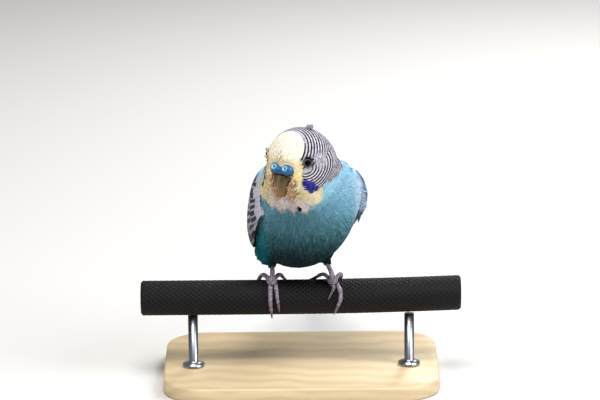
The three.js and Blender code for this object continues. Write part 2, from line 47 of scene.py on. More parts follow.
# Places in the part, in millimetres: the perch's axis, the body, the head and the tail
PERCH = np.array([0.0, -8.0, 35.1])
PERCH_RADIUS = 7.1
PERCH_RISE = 1.3
BODY = PERCH + np.array([2.4, 5.0, 35.4])
HEAD = PERCH + np.array([0.5, -20.0, 62.5])
BODY_PITCH = math.radians(30)
HEAD_YAW = math.radians(36)
HEAD_PITCH = math.radians(8)
HEAD_ROLL = math.radians(2)
TAIL_DROOP = math.radians(20)


def unit(v):
    """v, or each row of v, made one long."""
    v = np.asarray(v, float)
    return v / np.maximum(np.linalg.norm(v, axis=-1, keepdims=True), 1e-9)


def laid(ways, normals):
    """Ways laid flat on a surface with these normals."""
    return ways - normals * np.sum(ways * normals, axis=1, keepdims=True)


def turned(axis, angle):
    """The matrix that turns by an angle about X, Y or Z."""
    c, s = math.cos(angle), math.sin(angle)
    return {
        "X": np.array([[1, 0, 0], [0, c, -s], [0, s, c]]),
        "Y": np.array([[c, 0, s], [0, 1, 0], [-s, 0, c]]),
        "Z": np.array([[c, -s, 0], [s, c, 0], [0, 0, 1]]),
    }[axis]


HEAD_TURN = turned("Z", -HEAD_YAW) @ turned("X", HEAD_PITCH) @ turned("Y", HEAD_ROLL)
HEAD_LEFT = HEAD_TURN[:, 0]
HEAD_FORWARD = -HEAD_TURN[:, 1]
HEAD_UP = HEAD_TURN[:, 2]
PITCH_TURN = turned("X", -BODY_PITCH)
DROOP_TURN = turned("X", -TAIL_DROOP)
BACKWARDS = PITCH_TURN @ np.array([0.0, 1.0, 0.0])
TAIL_WAY = np.array([0.0, math.cos(TAIL_DROOP), -math.sin(TAIL_DROOP)])
TAIL_ROOT = BODY + BACKWARDS * 36


def in_head(left, forward, up):
    """A point of the head's own frame."""
    return HEAD + left * HEAD_LEFT + forward * HEAD_FORWARD + up * HEAD_UP


# Making and finishing pieces
def select_only(*objects):
    """Selects these objects and makes the last one active."""
    bpy.ops.object.select_all(action="DESELECT")
    for o in objects:
        o.select_set(True)
        bpy.context.view_layer.objects.active = o


def link(obj):
    """Puts an object into the scene."""
    bpy.context.scene.collection.objects.link(obj)
    return obj


def set_points(piece, points):
    """Moves a piece's vertices to points in millimetres."""
    piece.data.vertices.foreach_set("co", (points * MM).ravel())


def shade_smooth(piece):
    """Shades all of a piece smooth."""
    select_only(piece)
    bpy.ops.object.shade_smooth()


def edit_all(piece, operation, **settings):
    """Runs one mesh tool on all of a piece."""
    select_only(piece)
    bpy.ops.object.mode_set(mode="EDIT")
    bpy.ops.mesh.select_all(action="SELECT")
    operation(**settings)
    bpy.ops.object.mode_set(mode="OBJECT")


def new_piece(name, points, faces):
    """A smooth object from points in millimetres."""
    mesh = bpy.data.meshes.new(name)
    mesh.from_pydata([tuple(p) for p in np.asarray(points) * MM], [], [tuple(f) for f in faces])
    mesh.update()
    mesh.polygons.foreach_set("use_smooth", [True] * len(mesh.polygons))
    return link(bpy.data.objects.new(name, mesh))


def bulk_piece(name, points, faces):
    """A smooth object from arrays of millimetre points and of faces with the same number of corners."""
    mesh = bpy.data.meshes.new(name)
    sides = faces.shape[1]
    mesh.vertices.add(len(points))
    mesh.vertices.foreach_set("co", (np.asarray(points) * MM).ravel())
    mesh.loops.add(faces.size)
    mesh.loops.foreach_set("vertex_index", faces.ravel())
    mesh.polygons.add(len(faces))
    mesh.polygons.foreach_set("loop_start", np.arange(len(faces)) * sides)
    mesh.polygons.foreach_set("use_smooth", [True] * len(faces))
    mesh.update(calc_edges=True)
    return link(bpy.data.objects.new(name, mesh))


def set_uv(piece, uv):
    """Writes one UV to each vertex's loops."""
    layer = piece.data.uv_layers.new(name="OFBake")
    index = read(piece.data.loops, "vertex_index").astype(int)
    layer.data.foreach_set("uv", uv[index].ravel())


def set_float(piece, name, values):
    """Writes one number to each vertex."""
    layer = piece.data.attributes.new(name, "FLOAT", "POINT")
    layer.data.foreach_set("value", np.asarray(values, np.float32))


def modify(piece, kind, **settings):
    """Adds a modifier and applies it."""
    select_only(piece)
    made = piece.modifiers.new(kind.title(), kind)
    for key, value in settings.items():
        setattr(made, key, value)
    bpy.ops.object.modifier_apply(modifier=made.name)


def finish(piece, material, slot, *nodes):
    """Gives a piece its material and hides the CAD nodes it stands for; the slot is not used."""
    piece.data.materials.clear()
    piece.data.materials.append(material)
    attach(piece, "root")
    if nodes:
        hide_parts(*nodes)
    return piece


def node_copy(name, *nodes):
    """One merged copy of some CAD nodes' meshes."""
    copies = [link(bpy.data.objects.new(name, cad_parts[node].data.copy())) for node in nodes]
    select_only(*copies)
    if len(copies) > 1:
        bpy.ops.object.join()
    piece = bpy.context.view_layer.objects.active
    piece.name = name
    edit_all(piece, bpy.ops.mesh.remove_doubles, threshold=1e-6)
    edit_all(piece, bpy.ops.mesh.normals_make_consistent, inside=False)
    return piece


def read(parts, what, width=1):
    """One number, or one row of numbers, for each part of a mesh."""
    flat = np.empty(len(parts) * width)
    parts.foreach_get(what, flat)
    return flat.reshape(-1, width) if width > 1 else flat


def points_of(piece):
    """A piece's vertices in millimetres."""
    return read(piece.data.vertices, "co", 3) / MM


# Materials as sums of node sockets
class Sum:
    """A number or colour in a material's nodes."""

    def __init__(self, nodes, socket):
        self.nodes = nodes
        self.socket = socket

    def math(self, operation, *others, clamp=False):
        """This and others through one Math node."""
        node = self.nodes.new("ShaderNodeMath")
        node.operation = operation
        node.use_clamp = clamp
        for slot, value in zip(node.inputs, (self, *others)):
            plug(self.nodes, slot, value)
        return Sum(self.nodes, node.outputs[0])

    def __add__(self, other):
        return self.math("ADD", other)

    def __sub__(self, other):
        return self.math("SUBTRACT", other)

    def __rsub__(self, other):
        return (self * -1) + other

    def __mul__(self, other):
        return self.math("MULTIPLY", other)

    def __truediv__(self, other):
        return self.math("DIVIDE", other)

    __radd__ = __add__
    __rmul__ = __mul__

    def step(self, low, high):
        """0 at low, 1 at high, smooth between; low may be the larger."""
        t = self.math("SUBTRACT", low).math("DIVIDE", high - low, clamp=True)
        return t * t * (3 - 2 * t)

    def bell(self, middle, half):
        """1 at the middle, 0 a half width or more away."""
        return ((self - middle).math("ABSOLUTE")).step(half, 0)


def plug(nodes, slot, value):
    """Links a Sum or a socket to an input, or sets a number or colour on it."""
    if isinstance(value, Sum):
        value = value.socket
    if isinstance(value, bpy.types.NodeSocket):
        nodes.id_data.links.new(value, slot)
    elif isinstance(value, (tuple, list)) and len(value) == 3 and slot.type == "RGBA":
        slot.default_value = (*value, 1)
    else:
        slot.default_value = value


def linear(code):
    """A web colour as linear red, green and blue."""
    parts = [int(code[i : i + 2], 16) / 255 for i in (1, 3, 5)]
    return tuple(c / 12.92 if c <= 0.04045 else ((c + 0.055) / 1.055) ** 2.4 for c in parts)


class Shader:
    """A material with one Principled shader, and its sums."""

    def __init__(self, name, roughness, metallic=0.0, specular=0.5):
        self.material = bpy.data.materials.new(name)
        self.material.use_nodes = True
        self.nodes = self.material.node_tree.nodes
        self.surface = self.nodes["Principled BSDF"]
        self.surface.inputs["Roughness"].default_value = roughness
        self.surface.inputs["Metallic"].default_value = metallic
        self.surface.inputs["Specular IOR Level"].default_value = specular

    def node(self, kind, output, **inputs):
        """One output of a new node, its inputs and settings given by name."""
        made = self.nodes.new(kind)
        for key, value in inputs.items():
            if key in made.inputs:
                plug(self.nodes, made.inputs[key], value)
            else:
                setattr(made, key, value)
        return Sum(self.nodes, made.outputs[output])

    def place(self):
        """The point in metres, in the part's frame."""
        return self.node("ShaderNodeTexCoord", "Object")

    def along(self, way, origin=(0, 0, 0)):
        """How far the point lies from an origin along a way, in millimetres."""
        way = tuple(float(c) for c in way)
        dot = self.nodes.new("ShaderNodeVectorMath")
        dot.operation = "DOT_PRODUCT"
        plug(self.nodes, dot.inputs[0], self.place())
        dot.inputs[1].default_value = way
        return Sum(self.nodes, dot.outputs["Value"]) / MM - float(np.dot(way, origin))

    def noise(self, size, detail=2.0):
        """Cloudy noise from 0 to 1 with blotches a given number of millimetres across."""
        scale = 1 / (size * MM)
        return self.node("ShaderNodeTexNoise", "Fac", Scale=scale, Detail=detail, Vector=self.place())

    def mix(self, first, second, factor):
        """The first colour turning to the second."""
        made = self.nodes.new("ShaderNodeMix")
        made.data_type = "RGBA"
        plug(self.nodes, made.inputs["Factor"], factor)
        for slot, value in zip((made.inputs[6], made.inputs[7]), (first, second)):
            plug(self.nodes, slot, linear(value) if isinstance(value, str) else value)
        return Sum(self.nodes, made.outputs[2])

    def attribute(self, name):
        """A number stored on the mesh."""
        return self.node("ShaderNodeAttribute", "Fac", attribute_name=name)

    def bump(self, height, distance, strength):
        """Raises the surface by a height from 0 to 1, times a distance in millimetres."""
        made = self.nodes.new("ShaderNodeBump")
        made.inputs["Distance"].default_value = distance * MM
        made.inputs["Strength"].default_value = strength
        plug(self.nodes, made.inputs["Height"], height)
        plug(self.nodes, self.surface.inputs["Normal"], made.outputs[0])

    def paint(self, colour):
        """Sets the surface's colour."""
        plug(self.nodes, self.surface.inputs["Base Color"], colour)


def spot(s, place, size, soft):
    """1 within size millimetres of a point of the head, fading out."""
    offset = s.nodes.new("ShaderNodeVectorMath")
    offset.operation = "DISTANCE"
    plug(s.nodes, offset.inputs[0], s.place())
    offset.inputs[1].default_value = tuple(in_head(*place) * MM)
    reach = Sum(s.nodes, offset.outputs["Value"]) / MM
    return reach.step(size + soft, size - soft)


def spots(s, marks, soft):
    """1 within any of several marks, each a place and a size."""
    total = spot(s, marks[0][0], marks[0][1], soft)
    for place, size in marks[1:]:
        total = total.math("MAXIMUM", spot(s, place, size, soft))
    return total


# The cream cap lies round an axis of the head, out to an angle; black bars follow it and circle the cheek
CAP_AXIS = (-0.10, 0.78, 0.62)
CAP_EDGE = 0.707
CAP_BAR_PERIOD = 0.096
CHEEK_MIDDLE = (8.8, 8.4, 1.4)
CHEEK_BAR_PERIOD = 1.05

# Marks in the head's frame: left, forward and up, then the size, all in millimetres
VIOLET = [
    ((9.4, 10.6, -4.4), 1.5),
    ((11.0, 9.2, -6.2), 2.3),
    ((12.1, 7.2, -7.5), 1.4),
    ((10.8, 8.8, -8.4), 1.2),
    ((-14.6, 6.2, -7.6), 1.5),
    ((-13.4, 7.6, -6.6), 1.2),
]
THROAT_SPOTS = [
    ((3.7, 8.0, -17.3), 1.05),
    ((3.4, 7.9, -18.3), 0.9),
    ((-15.3, 6.2, -10.4), 1.0),
    ((-15.6, 6.0, -11.4), 0.9),
    ((-18.4, 9.6, -32.2), 1.8),
    ((-19.2, 8.2, -33.2), 1.7),
]
EAR = [((12.4, 3.4, 3.4), 3.2), ((-12.4, 3.4, 3.4), 3.2)]
SPECKLED = (-0.4, 12.9, 5.6)
LIDS = [((9.2, 8.2, 3.5), 2.1), ((-9.2, 8.2, 3.5), 1.2)]


# The body's colours from the belly up, and the heights over the perch where each comes in; partly the
# bird's own blue and teal, partly painted light on the shoulders and painted shade on the belly
BODY_COLOURS_AND_SHADE = [("#335963", 15, 22), ("#54838f", 20, 29), ("#7cb0c4", 27, 37), ("#9cc9de", 35, 46)]


def body_colour_and_shade(s, wobble):
    """Sky blue on the shoulders, turning to a dark teal on the belly: partly the bird's own colour, partly
    painted light on the shoulders and painted shade on the belly.
    """
    height = s.along((0, 0.26, 0.97), PERCH) + wobble * 5
    body = linear("#1c333a")
    for colour, low, high in BODY_COLOURS_AND_SHADE:
        body = s.mix(body, colour, height.step(low, high))
    flank = s.along((1, 0, 0), PERCH).step(-11, -16) * height.step(32, 24)
    body = s.mix(body, "#1f8494", flank * 0.8)
    tuft = s.along((1, 0, 0), PERCH).step(20, 25) * height.step(27, 35)
    body = s.mix(body, "#c6d6ea", tuft * 0.9)
    return s.mix(body, "#c3dde4", s.noise(0.6, 2.0).step(0.56, 0.8) * 0.10)


def barred_colour(s, left, forward, up, wobble):
    """Fine black bars, round the cap above and behind, and round the eye on the cheek.

    Also gives the angle from the cap's axis and the distance from the head's middle.
    """
    side = left.math("ABSOLUTE")
    reach = (left * left + forward * forward + up * up).math("SQRT")
    cap = left * CAP_AXIS[0] + forward * CAP_AXIS[1] + up * CAP_AXIS[2]
    cap_angle = (cap / reach).math("ARCCOSINE") + wobble * 0.010
    aside = side - CHEEK_MIDDLE[0]
    ahead = (forward - CHEEK_MIDDLE[1]) * 0.74
    above = up - CHEEK_MIDDLE[2]
    cheek_reach = (aside * aside + ahead * ahead + above * above).math("SQRT") + wobble * 0.12
    cap_bars = ((cap_angle - CAP_EDGE) * (2 * math.pi / CAP_BAR_PERIOD)).math("SINE")
    cheek_bars = (cheek_reach * (2 * math.pi / CHEEK_BAR_PERIOD)).math("SINE")
    cheek = (2.2 + (6.6 - forward) * 0.28 - up).step(-0.6, 0.6) * cheek_reach.step(10.6, 9.8)
    bars = cap_bars * (1 - cheek) + cheek_bars * cheek
    mottle = s.noise(0.55, 1.0).step(0.40, 0.62)
    lore = cheek * cheek_reach.step(2.6, 1.8)
    black = bars.step(-0.30, 0.30) * (1 - lore) + mottle * lore * 0.5
    ear = spots(s, EAR, 1.3) * 0.85
    black = black * (1 - ear) + mottle * ear * 0.55
    fringe = (cap_angle - CAP_EDGE).bell(0.0, 0.10) * up.step(9.0, 10.5)
    black = black * (1 - fringe) + s.noise(0.6, 1.0).step(0.50, 0.60) * fringe
    pale = s.mix("#d9d3dc", "#b3a9b8", s.noise(1.6, 2.0).step(0.3, 0.75))
    return s.mix(pale, "#17141c", black), cap_angle, reach


def mask_colour(s, left, up, wobble):
    """Cream on the cap, yellow on the face, peach beside the beak and pinkish white below."""
    side = (left + 0.6).math("ABSOLUTE")
    patchy = s.noise(2.2, 2.0)
    mask = s.mix("#f1ead9", "#e9dbb4", (up + wobble * 5).step(7.5, 3.5))
    mask = s.mix(mask, s.mix("#ebdc98", "#efdfc0", patchy.step(0.38, 0.62)), up.step(2.5, -1.0))
    peach = side.step(7.4, 4.4) * up.step(-1.0, -3.5) * (up + wobble * 3).step(-14.5, -11.5)
    mask = s.mix(mask, s.mix("#f4cfa8", "#e3b593", patchy.step(0.4, 0.65)), peach)
    low = (up + wobble * 6).step(-10.5, -13.5) * side.step(12, 7)
    mask = s.mix(mask, s.mix("#efe3db", "#cfbbc7", patchy.step(0.42, 0.68)), low)
    specks = s.noise(0.5, 0.0).step(0.60, 0.68) * spot(s, SPECKLED, 2.6, 1.6)
    return s.mix(mask, "#51303c", specks * 0.85)


def plumage_colour(s):
    """The bird's markings, from the place of the point alone, so that skin and feathers agree."""
    left, forward, up = [s.along(way, HEAD) for way in (HEAD_LEFT, HEAD_FORWARD, HEAD_UP)]
    wobble = s.noise(3.0, 1.0) - 0.5
    body = body_colour_and_shade(s, wobble)
    mask = mask_colour(s, left, up, wobble)
    barred, cap_angle, reach = barred_colour(s, left, forward, up, wobble)

    ragged = wobble * 1.6 + (s.noise(0.8, 1.0) - 0.5) * 1.6
    beyond = left.math("MAXIMUM", left * -0.78) + ragged
    low_front = up.step(5.4, 4.2) * beyond.step(8.8, 8.2) * forward.step(0, 3)
    barred_in = (cap_angle - CAP_EDGE).step(-0.02, 0.01) * (1 - low_front)
    head = s.mix(mask, barred, barred_in)

    outer = (left - 6).math("MAXIMUM", 0) * 1.17 + (left * -1 - 6).math("MAXIMUM", 0) * 0.33
    scallop = (left * (2 * math.pi / 5.2) + 1.0).math("SINE") * 0.7
    mask_edge = up + 19.3 - outer + scallop + wobble * 5
    mask_in = mask_edge.step(-1.2, 1.2) * (forward + wobble * 4).step(0.8, 6.0)
    below = s.mix(body, mask, mask_in)
    head_in = (up + wobble * 4).step(-8.6, -6.8) * reach.step(24, 21)
    colour = s.mix(below, head, head_in)

    grey = spots(s, LIDS, 0.8)
    colour = s.mix(colour, s.mix("#8d8490", "#5e5660", s.noise(0.5).step(0.4, 0.6)), grey * 0.8)
    violet = s.mix("#25246f", "#4143a8", s.noise(1.0).step(0.4, 0.7))
    colour = s.mix(colour, violet, spots(s, VIOLET, 0.5))
    return s.mix(colour, "#0d0b10", spots(s, THROAT_SPOTS, 0.3))


def plumage_material():
    """Matt feathers with the bird's markings."""
    s = Shader("plumage", 0.85, specular=0.08)
    s.paint(plumage_colour(s))
    return s.material


# The skin under the feathers
FLESH = ("torso", "neck", "head", "thigh_left", "thigh_right")
COAT_DEPTH = 0.5
SWELL = 0.35


def make_skin():
    """One closed skin round all the nodes of flesh, set in by the coat's depth."""
    skin = node_copy("skin", *FLESH)
    modify(skin, "DISPLACE", strength=SWELL * MM, mid_level=0.0, direction="NORMAL")
    modify(skin, "REMESH", mode="VOXEL", voxel_size=0.62 * MM)
    modify(skin, "SMOOTH", factor=0.5, iterations=8)
    modify(skin, "DISPLACE", strength=-(SWELL + COAT_DEPTH) * MM, mid_level=0.0, direction="NORMAL")
    modify(skin, "SMOOTH", factor=0.4, iterations=3)
    shade_smooth(skin)
    edit_all(skin, bpy.ops.uv.smart_project, angle_limit=1.15, island_margin=0.002)
    skin.data.uv_layers[0].name = "OFBake"
    return skin


def skin_samples(skin):
    """Each face's middle, normal, area and unwrapped place."""
    faces = skin.data.polygons
    first = read(faces, "loop_start").astype(int)
    uv = read(skin.data.uv_layers["OFBake"].data, "uv", 2)[first]
    return read(faces, "center", 3) / MM, read(faces, "normal", 3), read(faces, "area") / MM**2, uv


def flow_at(points, normals):
    """The lie of the coat: away from the beak on the head, down and back on the body."""
    from_beak = unit(points - in_head(0, 16, -2))
    back = np.broadcast_to(BACKWARDS, points.shape)
    headness = np.clip(2.3 - np.linalg.norm(points - HEAD, axis=1) / 10.5, 0, 1)[:, None]
    way = from_beak * headness + unit(back + 0.15 * normals) * (1 - headness)
    return unit(laid(way, normals))


# A leaf is three stations of left, ridge and right, and a point; a strand is one station and a point
LEAF_AT = np.array([0.0, 0.38, 0.76, 1.0])
LEAF_WIDE = np.array([0.35, 1.0, 0.82, 0.0])
LEAF_FACES = [
    (0, 4, 3), (0, 1, 4), (1, 5, 4), (1, 2, 5), (3, 7, 6), (3, 4, 7), (4, 8, 7), (4, 5, 8),
    (2, 3, 5), (2, 0, 3), (5, 6, 8), (5, 3, 6), (6, 7, 9), (7, 8, 9), (8, 6, 9), (0, 2, 1),
]
STRAND_FACES = [(0, 1, 3), (1, 2, 3), (2, 0, 3), (0, 2, 1)]
PATCH = 0.003


def many(name, points, faces, uv, spread):
    """One piece of many small closed things, each with its own patch on the unwrap."""
    count, step = points.shape[:2]
    index = np.array(faces)[None] + (np.arange(count) * step)[:, None, None]
    piece = bulk_piece(name, points.reshape(-1, 3), index.reshape(-1, 3))
    patch = np.array(spread)[None] * PATCH + uv[:, None]
    set_uv(piece, np.clip(patch, 0.001, 0.999).reshape(-1, 2))
    return piece


def leaf_coat(name, roots, normals, flows, length, width, lift, bend, uv):
    """Small closed feathers, each a leaf that bends down towards its tip."""
    across = np.cross(flows, normals)
    rows = []
    for at, wide in zip(LEAF_AT, LEAF_WIDE):
        rise = lift * at - bend * (length * at) ** 2
        middle = roots + flows * (length * at)[:, None] + normals * rise[:, None]
        if wide == 0.0:
            rows.append(middle[:, None])
            continue
        edge = across * (width * wide / 2)[:, None]
        ridge = middle + normals * (0.03 + 0.035 * width)[:, None]
        rows.append(np.stack([middle - edge, ridge, middle + edge], 1))
    spread = [(x, y - 0.5) for y in LEAF_AT[:3] for x in (-0.5, 0, 0.5)] + [(0, 0.5)]
    return many(name, np.concatenate(rows, 1), LEAF_FACES, uv, spread)


def strand_coat(name, roots, normals, flows, length, width, lift, bend, uv):
    """Hair-fine barbs, each a closed sliver."""
    across = np.cross(flows, normals)
    foot = roots + normals * 0.12
    edge = across * (width / 2)[:, None]
    tip = roots + flows * length[:, None] + normals * (lift - bend * length**2)[:, None]
    ridge = foot + normals * (0.12 + 0.2 * width)[:, None]
    points = np.stack([foot - edge, ridge, foot + edge, tip], 1)
    spread = [(-0.5, -0.5), (0, -0.5), (0.5, -0.5), (0, 0.5)]
    return many(name, points, STRAND_FACES, uv, spread)


LEAVES_A_PIECE = 12000
BARBS_A_PIECE = 45000
BARBS_PER_AREA = 7.0
LOOSE_SHARE = 0.14


class Ground:
    """The skin as ground that feathers grow from."""

    def __init__(self, skin):
        self.middle, _, self.area, self.uv = skin_samples(skin)
        soft = link(bpy.data.objects.new("soft", skin.data.copy()))
        modify(soft, "SMOOTH", factor=0.5, iterations=30)
        self.normal = skin_samples(soft)[1]
        bpy.data.objects.remove(soft)
        self.reach = np.linalg.norm(self.middle - HEAD, axis=1)
        self.face = np.clip((23 - self.reach) / 7, 0, 1)

    def pick(self, per_area):
        """Faces drawn at random, so many to each square millimetre."""
        thin = 1.0
        picks = np.repeat(np.arange(len(self.area)), rng.poisson(self.area * per_area * thin))
        picks = picks[clear_of_parts(self.middle[picks])]
        rng.shuffle(picks)
        return picks

    def sprout(self, picks, unruly):
        """Roots, normals and ways for feathers on these faces."""
        normals = self.normal[picks]
        stray = rng.normal(0, 0.22, (len(picks), 3))
        roots = self.middle[picks] + laid(stray, normals)
        flows = flow_at(roots, normals) + rng.normal(0, 1, (len(picks), 3)) * unruly[:, None]
        return roots, normals, unit(laid(flows, normals))


def ruffle_at(points):
    """1 beside the beak and on the chin, where the feathers stand in disorder."""
    local = points - HEAD
    side = np.abs(local @ HEAD_LEFT + 0.6)
    up, ahead = local @ HEAD_UP, local @ HEAD_FORWARD
    high = np.clip((-1 - up) / 3, 0, 1) * np.clip((up + 17) / 5, 0, 1)
    return np.clip((9 - side) / 3, 0, 1) * high * (ahead > 4)


def grow(kind, make, ground, picks, length, width, lift, unruly, limit, material, slot):
    """Grows feathers on picked faces, in pieces of limited size."""
    roots, normals, flows = ground.sprout(picks, unruly)
    bend = 0.5 / np.where(ground.reach[picks] < 18, 13.0, 19.0)
    parts = np.array_split(np.arange(len(picks)), max(1, math.ceil(len(picks) / limit)))
    for number, part in enumerate(parts):
        piece = make(
            f"{kind}_{number + 1}", roots[part], normals[part], flows[part],
            length[part], width[part], lift[part], bend[part], ground.uv[picks[part]],
        )
        finish(piece, material, slot)


def grow_coat(skin, material, slot):
    """Contour feathers over the whole skin, finest on the face, and fine barbs over the body."""
    ground = Ground(skin)
    length = 4.2 - 2.5 * ground.face
    width = 1.05 - 0.60 * ground.face
    picks = ground.pick(1 / (0.115 * length * width))
    ruffle = ruffle_at(ground.middle[picks])
    size = rng.uniform(0.8, 1.15, len(picks)) * (1 + 0.5 * ruffle)
    lift = (0.20 - 0.02 * ground.face[picks]) * rng.uniform(0.7, 1.2, len(picks)) + 0.7 * ruffle
    loose = (rng.uniform(0, 1, len(picks)) < LOOSE_SHARE) * (1 - ground.face[picks])
    size = size * (1 + 0.25 * loose)
    lift = lift + 0.22 * loose
    unruly = 0.05 + 0.30 * ruffle + 0.07 * loose
    length = length[picks] * size
    width = width[picks] * size
    grow("coat", leaf_coat, ground, picks, length, width, lift, unruly, LEAVES_A_PIECE, material, slot)
    picks = ground.pick(BARBS_PER_AREA * (1 - ground.face))
    count = len(picks)
    length = rng.uniform(2.4, 4.2, count)
    width = rng.uniform(0.12, 0.20, count)
    lift = rng.uniform(0.22, 0.42, count)
    unruly = np.full(count, 0.08)
    grow("barbs", strand_coat, ground, picks, length, width, lift, unruly, BARBS_A_PIECE, material, slot)


def tuft(name, middle, spread, way, count, length, width, material, slot):
    """Loose feathers that stand away from the coat at one place."""
    roots = middle + np.clip(rng.normal(0, 1, (count, 3)), -1.4, 1.4) * np.array(spread)
    flows = unit(unit(way) + rng.normal(0, 0.13, (count, 3)))
    normals = unit(np.cross(flows, unit(rng.normal(0, 1, (count, 3)))))
    sizes = length * rng.uniform(0.7, 1.15, count)
    bend = np.full(count, 0.012)
    uv = np.full((count, 2), 0.985) + rng.uniform(-0.008, 0.008, (count, 2))
    piece = leaf_coat(name, roots, normals, flows, sizes, np.full(count, width), sizes * 0, bend, uv)
    finish(piece, material, slot)


EYES = {"eye_left": 1, "eye_right": -1}


def eye_place(node):
    """The middle and the radius of an eye, from its CAD node."""
    low, high = (np.array(c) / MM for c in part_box(node))
    return (low + high) / 2, float(np.mean(high - low)) / 2


KEEP_OFF = [
    (in_head(2.4, 13.2, 0.8), 2.9),
    (in_head(-2.4, 13.2, 0.8), 2.9),
    (in_head(0, 12.5, -3.5), 3.0),
    (in_head(0, 11.5, -7), 2.6),
]
for eye_node in EYES:
    eye_middle, eye_radius = eye_place(eye_node)
    KEEP_OFF.append((eye_middle, eye_radius + 0.45))


def clear_of_parts(points):
    """False where a feather would grow through the cere, the beak or an eye."""
    keep = np.ones(len(points), bool)
    for place, reach in KEEP_OFF:
        keep &= np.linalg.norm(points - place, axis=1) > reach
    return keep


# Wings and tail
def back_curve():
    """Points and ways down the bird's back, a millimetre apart, from its shoulders to its tail's tip."""
    knots = [
        BODY - BACKWARDS * 26,
        BODY,
        TAIL_ROOT - BACKWARDS * 4,
        TAIL_ROOT + TAIL_WAY * 24,
        TAIL_ROOT + TAIL_WAY * 88,
    ]
    knots = [2 * knots[0] - knots[1]] + knots + [2 * knots[-1] - knots[-2]]
    path = []
    for a, b, c, d in zip(knots, knots[1:], knots[2:], knots[3:]):
        spans = [np.linalg.norm(q - p) ** 0.5 for p, q in ((a, b), (b, c), (c, d))]
        t0, t1, t2, t3 = np.cumsum([0, *spans])
        for t in np.linspace(t1, t2, 60, endpoint=False):
            p = (a * (t1 - t) + b * (t - t0)) / (t1 - t0)
            q = (b * (t2 - t) + c * (t - t1)) / (t2 - t1)
            r = (c * (t3 - t) + d * (t - t2)) / (t3 - t2)
            u = (p * (t2 - t) + q * (t - t0)) / (t2 - t0)
            v = (q * (t3 - t) + r * (t - t1)) / (t3 - t1)
            path.append((u * (t2 - t) + v * (t - t1)) / (t2 - t1))
    path = np.array(path)
    run = np.concatenate([[0], np.cumsum(np.linalg.norm(np.diff(path, axis=0), axis=1))])
    steps = np.arange(0, run[-1], 1.0)
    line = np.stack([np.interp(steps, run, path[:, i]) for i in range(3)], 1)
    return line, unit(np.gradient(line, axis=0))


BACK_LINE, BACK_WAY = back_curve()


def in_body(left, back, up):
    """A point of the body's own frame."""
    return BODY + PITCH_TURN @ np.array([left, back, up], float)


# The soft forms under the wings: middle, half sizes and turn
MANTLE = [
    (in_body(0, 0, 0), (20.2, 31, 18.3), PITCH_TURN),
    (in_body(-0.8, -9, -5), (18.6, 18, 17), PITCH_TURN),
    (PERCH + np.array([-1.6, 0, 27.4]), (16.6, 18, 14.6), PITCH_TURN),
    (in_body(0, -9, 6), (17.4, 15, 12), PITCH_TURN),
    (PERCH + np.array([10, 2, 44]), (14.4, 15, 13), PITCH_TURN),
    (in_body(0, 24, 1.5), (10.5, 17, 8.2), PITCH_TURN),
    (TAIL_ROOT + TAIL_WAY * 8, (10.5, 46, 7.4), DROOP_TURN),
]


def outside_mantle(points):
    """How far points lie outside the soft form of body and tail root."""
    total = None
    for index, (middle, semi, turn) in enumerate(MANTLE):
        q = (points - middle) @ turn / np.array(semi)
        size = np.linalg.norm(q, axis=-1)
        slope = np.linalg.norm(q / np.array(semi), axis=-1)
        form = size * (size - 1) / np.maximum(slope, 1e-6)
        if total is None:
            total = form
            continue
        softness = 8 if index == 6 else 6
        near = np.maximum(0, 1 - np.abs(total - form) / softness)
        total = np.minimum(total, form) - near * near * softness / 4
    return total


def between_rows(table, index):
    """Rows of a table at whole or broken numbers."""
    return np.stack([np.interp(index, np.arange(len(table)), column) for column in table.T], -1)


def on_sheet(side, along, round_, height):
    """Points on the sheet a folded wing lies on: along the back line, round the side, and above it."""
    index = np.clip(along, 0, len(BACK_LINE) - 1)
    origin = between_rows(BACK_LINE, index)
    way = between_rows(BACK_WAY, index)
    across = np.array([1.0, 0, 0])
    dorsal = unit(np.cross(across, way))
    angle = np.radians(round_)[..., None]
    out = dorsal * np.sin(angle) + side * across * np.cos(angle)
    near, far = np.full(along.shape, 0.5), np.full(along.shape, 60.0)
    for _ in range(17):
        middle = (near + far) / 2
        inside = outside_mantle(origin + out * middle[..., None]) < 0
        near = np.where(inside, middle, near)
        far = np.where(inside, far, middle)
    return origin + out * (near + height)[..., None]


# Each tier of a wing, how many feathers and then from its first feather to its last: where roots and
# tips lie along the back line, where roots and tips lie round the side, and the feathers' width
TIERS = {
    "primary": (7, (38, 46), (99, 76), (-20, 44), (62, 83), 7.2),
    "secondary": (8, (27, 30), (56, 70), (-21, 56), (6, 79), 8.4),
    "greater": (9, (19, 21), (38, 44), (-24, 56), (-16, 68), 7.2),
    "median": (9, (13, 14), (27, 30), (-26, 46), (-22, 58), 6.6),
    "lesser": (9, (9, 10), (19, 21), (-22, 34), (-20, 44), 6.0),
    "marginal": (8, (5, 6), (13, 14.5), (-18, 24), (-16, 32), 5.6),
}
# Each wing: side, place of its front edge, shift down the back, and turn up the side in degrees
WINGS = {
    "right": (-1, 11, 0, 0),
    "left": (1, 28, 17, 42),
}
VANE_THICKNESS = 0.16


def blade(t):
    """A feather's half width down its length, as a share of its widest."""
    tip = np.maximum(0, (t - 0.7) / 0.3)
    return np.minimum(1, 0.5 + 1.8 * t) * np.sqrt(np.maximum(0.003, 1 - tip**2.2))


def sheet_grid(columns, rows):
    """Across from 0 to 1 and down from 0 to 1, over a grid."""
    across, down = np.meshgrid(np.linspace(0, 1, columns + 1), np.linspace(0, 1, rows + 1))
    return across, 1 - (1 - down) ** 1.35


